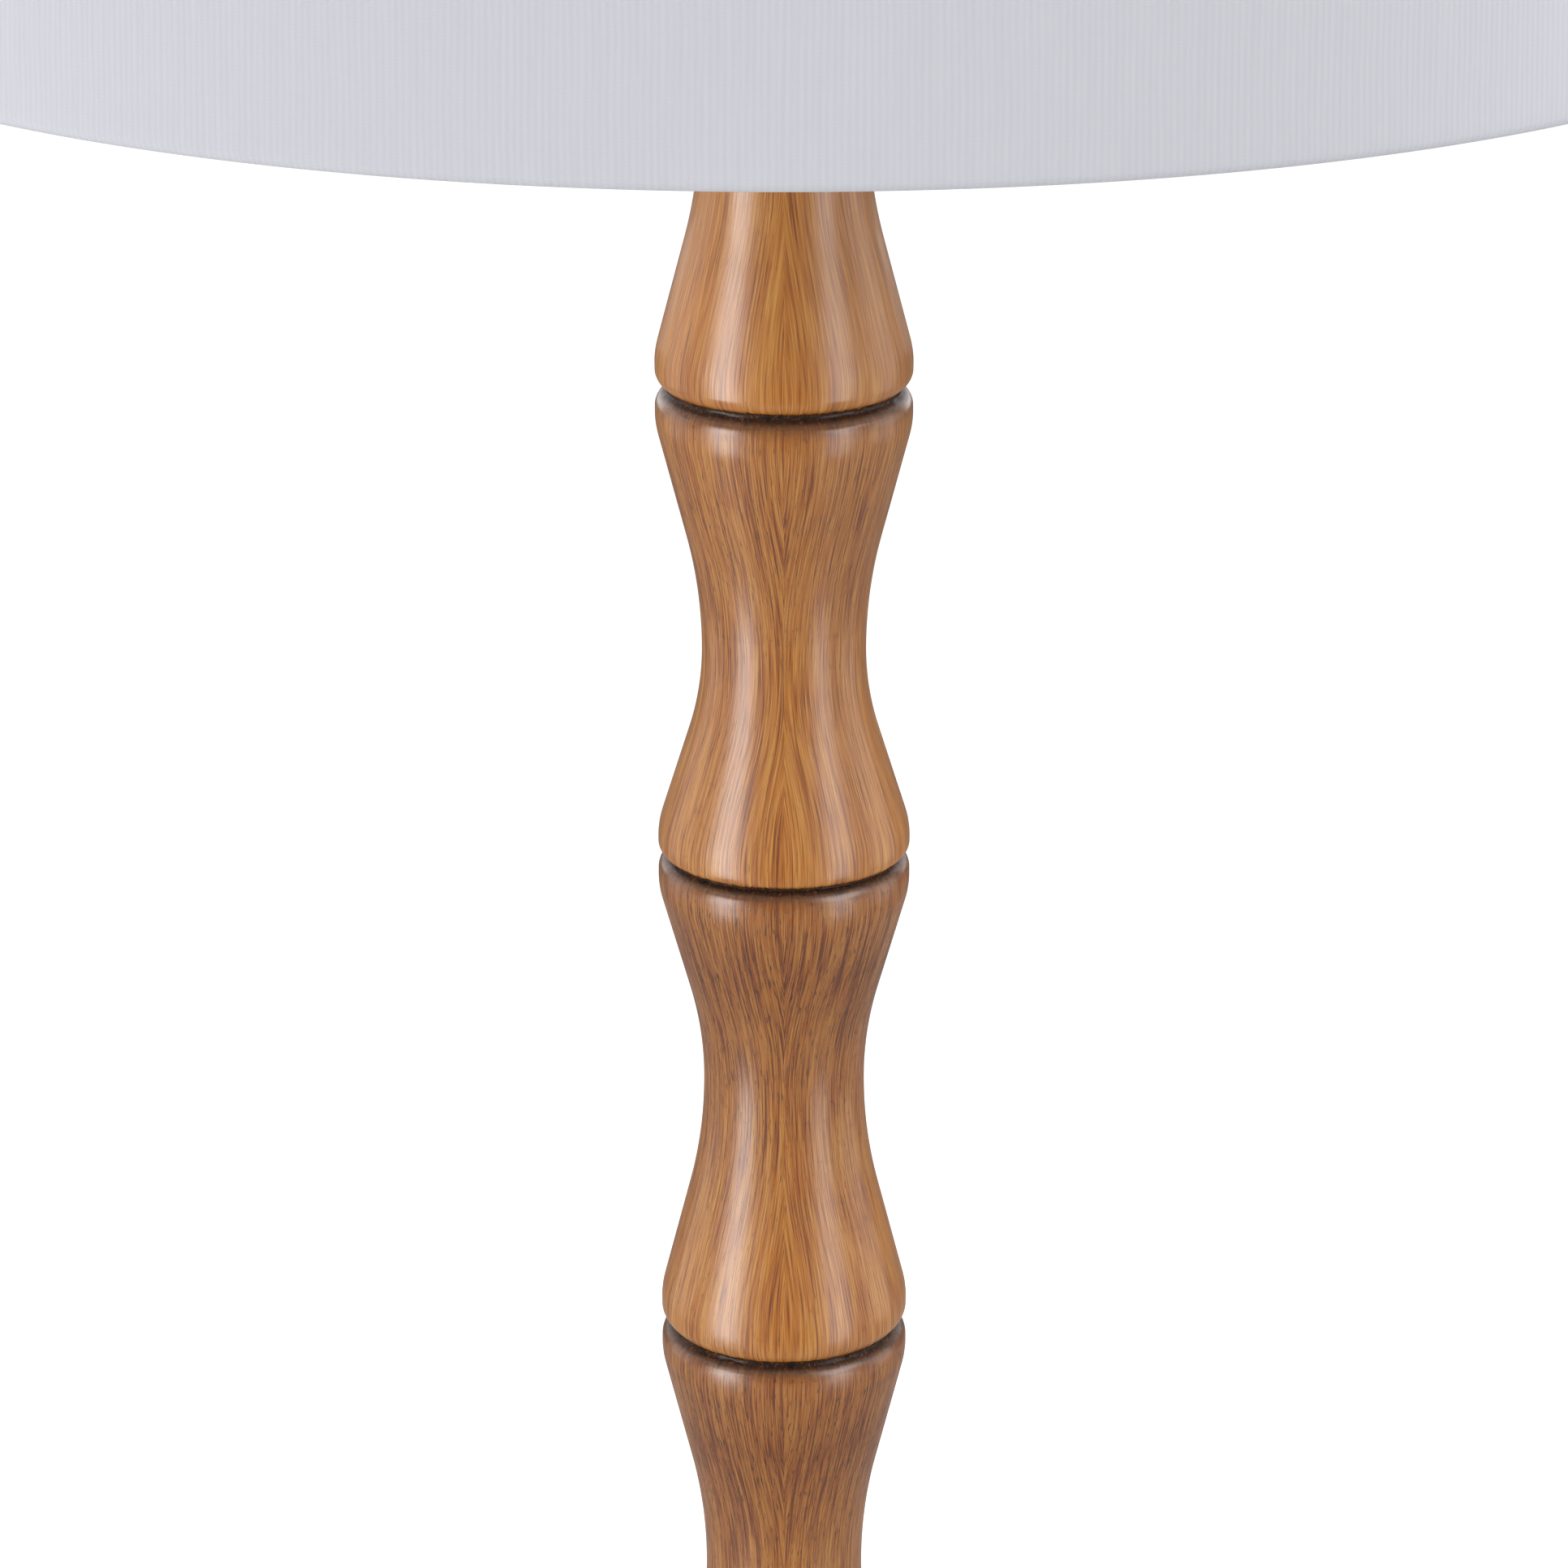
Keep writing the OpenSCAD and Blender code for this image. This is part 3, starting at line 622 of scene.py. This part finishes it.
cap_drop = [(9 * math.cos(math.radians(a)), HUB_BOTTOM - 20 + 9 * math.sin(math.radians(a)))
            for a in range(-90, 41, 10)]
cap = spun(cap_drop + [(7.2, HUB_BOTTOM - 12.5), (8, HUB_BOTTOM - 11), (20, HUB_BOTTOM - 7),
                       (25.5, HUB_BOTTOM - 4), (25.5, HUB_BOTTOM), (21.9, HUB_BOTTOM),
                       (21.9, HUB_BOTTOM + 9)], steps=96)
soften(cap, 0.6, degrees=30)
piece("hub_drop", cap, "lamp", brass, ["hub_cap"])

# ---------------------------------------------------------------- fittings

# these keep the frame's own mesh and only take a finish
KEPT = {
    "foot_screws": zinc, "leg_studs": zinc, "base_washer": zinc, "base_nut": zinc,
    "leg_inserts": insert_brass, "terminal_screws": insert_brass, "centre_contact": insert_brass,
    "pipe_lower": pipe_steel, "pipe_middle": pipe_steel, "pipe_upper": pipe_steel,
    "pipe_couplings": pipe_steel, "shell_insulator": fibre_card, "socket_body": phenolic,
    "screw_shell": shell_aluminium, "bulb_contact": shell_aluminium,
    "bulb_insulator": black_glass, "switch_shaft": insert_brass,
}
for name, finish in KEPT.items():
    mesh = nodes[name].data
    mesh.materials.clear()
    mesh.materials.append(finish)

# these are shaded smoothly on a joined copy of the frame's mesh
REMADE = {
    "cable_bushing": ("bushing_plastic", black_plastic),
    "check_plate": ("brass", brass),
    "lock_nut": ("brass", brass),
    "harp_saddle": ("brass", brass),
    "socket_cap": ("brass", brass),
    "socket_shell": ("brass", brass),
    "switch_knob": ("knob_plastic", knob_plastic),
    "harp": ("harp_brass", harp_brass),
    "harp_stud": ("harp_brass", harp_brass),
    "harp_sleeve_right": ("harp_brass", harp_brass),
    "harp_sleeve_left": ("harp_brass", harp_brass),
    "spider_fitter": ("fitter_brass", fitter_brass),
    "shade_ring": ("fitter_brass", fitter_brass),
    "finial_seat": ("brass", brass),
    "bulb_base": ("shell_aluminium", shell_aluminium),
}
home = {n: b for b, members in frame["record"]["behaviour"]["bodies"].items() for n in members}
for name, (slot, finish) in REMADE.items():
    piece(name + "_made", merged_copy(name), home[name], finish, [name])

# ---------------------------------------------------------------- bulb and finial

glass = flank(NECK_R, BULB_R, BULB_RISE, 42, BULB_R, fine=2)
glass += [(BULB_R * math.cos(math.radians(a)), BULB_RISE + BULB_R * math.sin(math.radians(a)))
          for a in range(5, 86, 5)]
bulb = spun([(12.2, GLASS_Z - 4), (12.6, GLASS_Z - 1)] + [(r, GLASS_Z + z) for r, z in glass]
            + [(0, GLASS_Z + BULB_RISE + BULB_R)], steps=96)
piece("bulb_envelope", bulb, "lamp", opal_glass, ["bulb_glass"])

finial = [(6.4, FINIAL_Z), (7.4, FINIAL_Z + 1.2)]
for i in range(27):
    a = math.radians(-40 + 5 * i)
    half = 11.6 if a < 0 else 11.8
    finial.append((FINIAL_R * math.cos(a), FINIAL_Z + 10.2 + half * math.sin(a)))
knob = piece("finial_turned", spun(finial, steps=96), "lamp", amber,
             ["finial_knob"])
grain_marks(knob, UPRIGHT, [FINIAL_Z])

# ---------------------------------------------------------------- shade

BOTTOM_ROLL = (SHADE_BOTTOM_R - ROLL_R, SHADE_BOTTOM + ROLL_R)
TOP_ROLL = (SHADE_TOP_R - ROLL_R, SHADE_TOP - ROLL_R)


def wall_r(z):
    """Radius of the outside of the shade's wall at height z."""
    share = (z - BOTTOM_ROLL[1]) / (TOP_ROLL[1] - BOTTOM_ROLL[1])
    return SHADE_BOTTOM_R - (SHADE_BOTTOM_R - SHADE_TOP_R) * share


def roll(centre, start, end):
    """Outline of the cloth rolled round a wire ring, from one angle to another."""
    turns = [math.radians(a) for a in range(start, end + 1, 15)]
    return [(centre[0] + ROLL_R * math.cos(a), centre[1] + ROLL_R * math.sin(a)) for a in turns]


wall_low, wall_high = BOTTOM_ROLL[1] + ROLL_R, TOP_ROLL[1] - ROLL_R
rows = 24
outside = [(wall_r(z), z) for z in
           (wall_low + (wall_high - wall_low) * i / rows for i in range(rows + 1))]
inside = [(r - CLOTH_T, z) for r, z in reversed(outside)]
cloth_outline = (roll(BOTTOM_ROLL, -180, 0) + outside + roll(TOP_ROLL, 0, 180)
                 + [(TOP_ROLL[0] - 1.6, TOP_ROLL[1] - 1.9)] + inside
                 + [(BOTTOM_ROLL[0] - 1.6, BOTTOM_ROLL[1] + 1.9)])
cloth = spun(cloth_outline, steps=360, closed=True)
# the upright strip at the back where the cloth laps over itself
for v in cloth.verts:
    r = math.hypot(v.co.x, v.co.y)
    outer_skin = r > (wall_r(v.co.z / MM) - 0.3) * MM
    if outer_skin and v.co.y > 0 and abs(v.co.x) < LAP_HALF * MM:
        v.co.x *= 1 + LAP_T * MM / r
        v.co.y *= 1 + LAP_T * MM / r
shade = piece("shade_linen", cloth, "shade", linen_cloth, ["shade_cloth"])
# the weave is laid flat, in millimetres, with its seam at the back
weave = shade.data.uv_layers.new(name="weave")
for poly in shade.data.polygons:
    first = None
    for corner in poly.loop_indices:
        p = shade.data.vertices[shade.data.loops[corner].vertex_index].co / MM
        turn = math.atan2(p.x, -p.y)
        if first is None:
            first = turn
        turn += math.tau * round((first - turn) / math.tau)
        weave.data[corner].uv = (turn * SHADE_BOTTOM_R, p.z)

skin = CLOTH_T + SKIN_GAP
low, high = wall_low + 0.2, wall_high - 0.2
lined = spun([(wall_r(low) - skin - LINER_T, low), (wall_r(low) - skin, low),
              (wall_r(high) - skin, high), (wall_r(high) - skin - LINER_T, high)],
             steps=240, closed=True)
piece("shade_lining", lined, "shade", styrene, ["shade_liner"])

# ---------------------------------------------------------------- floor, light and camera

# metres and degrees from here on
FLOOR_HALF = 14.0
ROOM_LIGHT = 0.24
CAMERA_AWAY = 1.171
CAMERA_Z = 1.4475
CAMERA_DOWN = 19.85

floor_bm = bmesh.new()
bmesh.ops.create_grid(floor_bm, x_segments=1, y_segments=1, size=FLOOR_HALF)
floor_mesh = bpy.data.meshes.new("studio_floor")
floor_bm.to_mesh(floor_mesh)
floor_bm.free()
floor_obj = bpy.data.objects.new("studio_floor", floor_mesh)
scene.collection.objects.link(floor_obj)
floor_finish = Finish("pale_floor", Roughness=0.9, Specular_IOR_Level=0.1)
floor_finish.set("Base Color", (0.50, 0.50, 0.50, 1))
floor_finish.set("Emission Color", (1, 1, 1, 1))
# full white far out, half as bright under the lamp, and seen by the camera only
away = floor_finish.node("VectorMath", floor_finish.object_point(), operation="LENGTH").outputs[1]
seen = floor_finish.node("LightPath").outputs["Is Camera Ray"]
floor_finish.set("Emission Strength", floor_finish.math(
    "MULTIPLY", seen, floor_finish.span(away, 0.4, 1.5, 0.5, 1.0)))
floor_mesh.materials.append(floor_finish.mat)

world = bpy.data.worlds.new("studio")
scene.world = world
world.use_nodes = True
sky = world.node_tree.nodes["Background"]
sky.inputs["Color"].default_value = (1, 1, 1, 1)
# the lamp is lit by a dim room but seen against a white one
brightness = world.node_tree.nodes.new("ShaderNodeMapRange")
for place, value in enumerate((0, 0, 1, ROOM_LIGHT, 1.0)):
    brightness.inputs[place].default_value = value
rays = world.node_tree.nodes.new("ShaderNodeLightPath")
world.node_tree.links.new(rays.outputs["Is Camera Ray"], brightness.inputs[0])
world.node_tree.links.new(brightness.outputs[0], sky.inputs["Strength"])


def softbox(name, azimuth, reach, height, size, radiance, tilt=0):
    """A lit panel facing the lamp; azimuth in degrees right of the front."""
    light = bpy.data.lights.new(name, "AREA")
    light.shape = "RECTANGLE"
    light.size, light.size_y = size
    light.energy = radiance * math.pi * size[0] * size[1]
    obj = bpy.data.objects.new(name, light)
    turn = math.radians(azimuth)
    obj.location = (reach * math.sin(turn), -reach * math.cos(turn), height)
    obj.rotation_euler = (math.radians(90 - tilt), 0, turn)
    obj.visible_camera = False
    scene.collection.objects.link(obj)


softbox("left_box", -55, 1.9, 0.95, (0.80, 1.9), 5.5)
softbox("right_box", 52, 1.9, 0.95, (0.75, 1.9), 2.8)
softbox("left_fill", -110, 2.3, 1.1, (1.4, 2.0), 0.7)
softbox("right_fill", 100, 2.3, 1.1, (1.4, 2.0), 0.9)
softbox("right_high", 60, 2.0, 2.5, (1.6, 1.2), 3.2, tilt=32)
softbox("back_left", -152, 2.3, 1.7, (1.5, 1.6), 1.2, tilt=10)
softbox("back_right", 156, 2.3, 1.7, (1.5, 1.6), 1.3, tilt=10)

camera = bpy.data.cameras.new("camera")
camera.sensor_width = 36
camera.lens = 125.2
camera.clip_start, camera.clip_end = 0.05, 60
cam = bpy.data.objects.new("camera", camera)
cam.location = (0, -CAMERA_AWAY, CAMERA_Z)
cam.rotation_euler = (math.radians(90 - CAMERA_DOWN), 0, 0)
scene.collection.objects.link(cam)
scene.camera = cam
scene.view_settings.view_transform = "Standard"
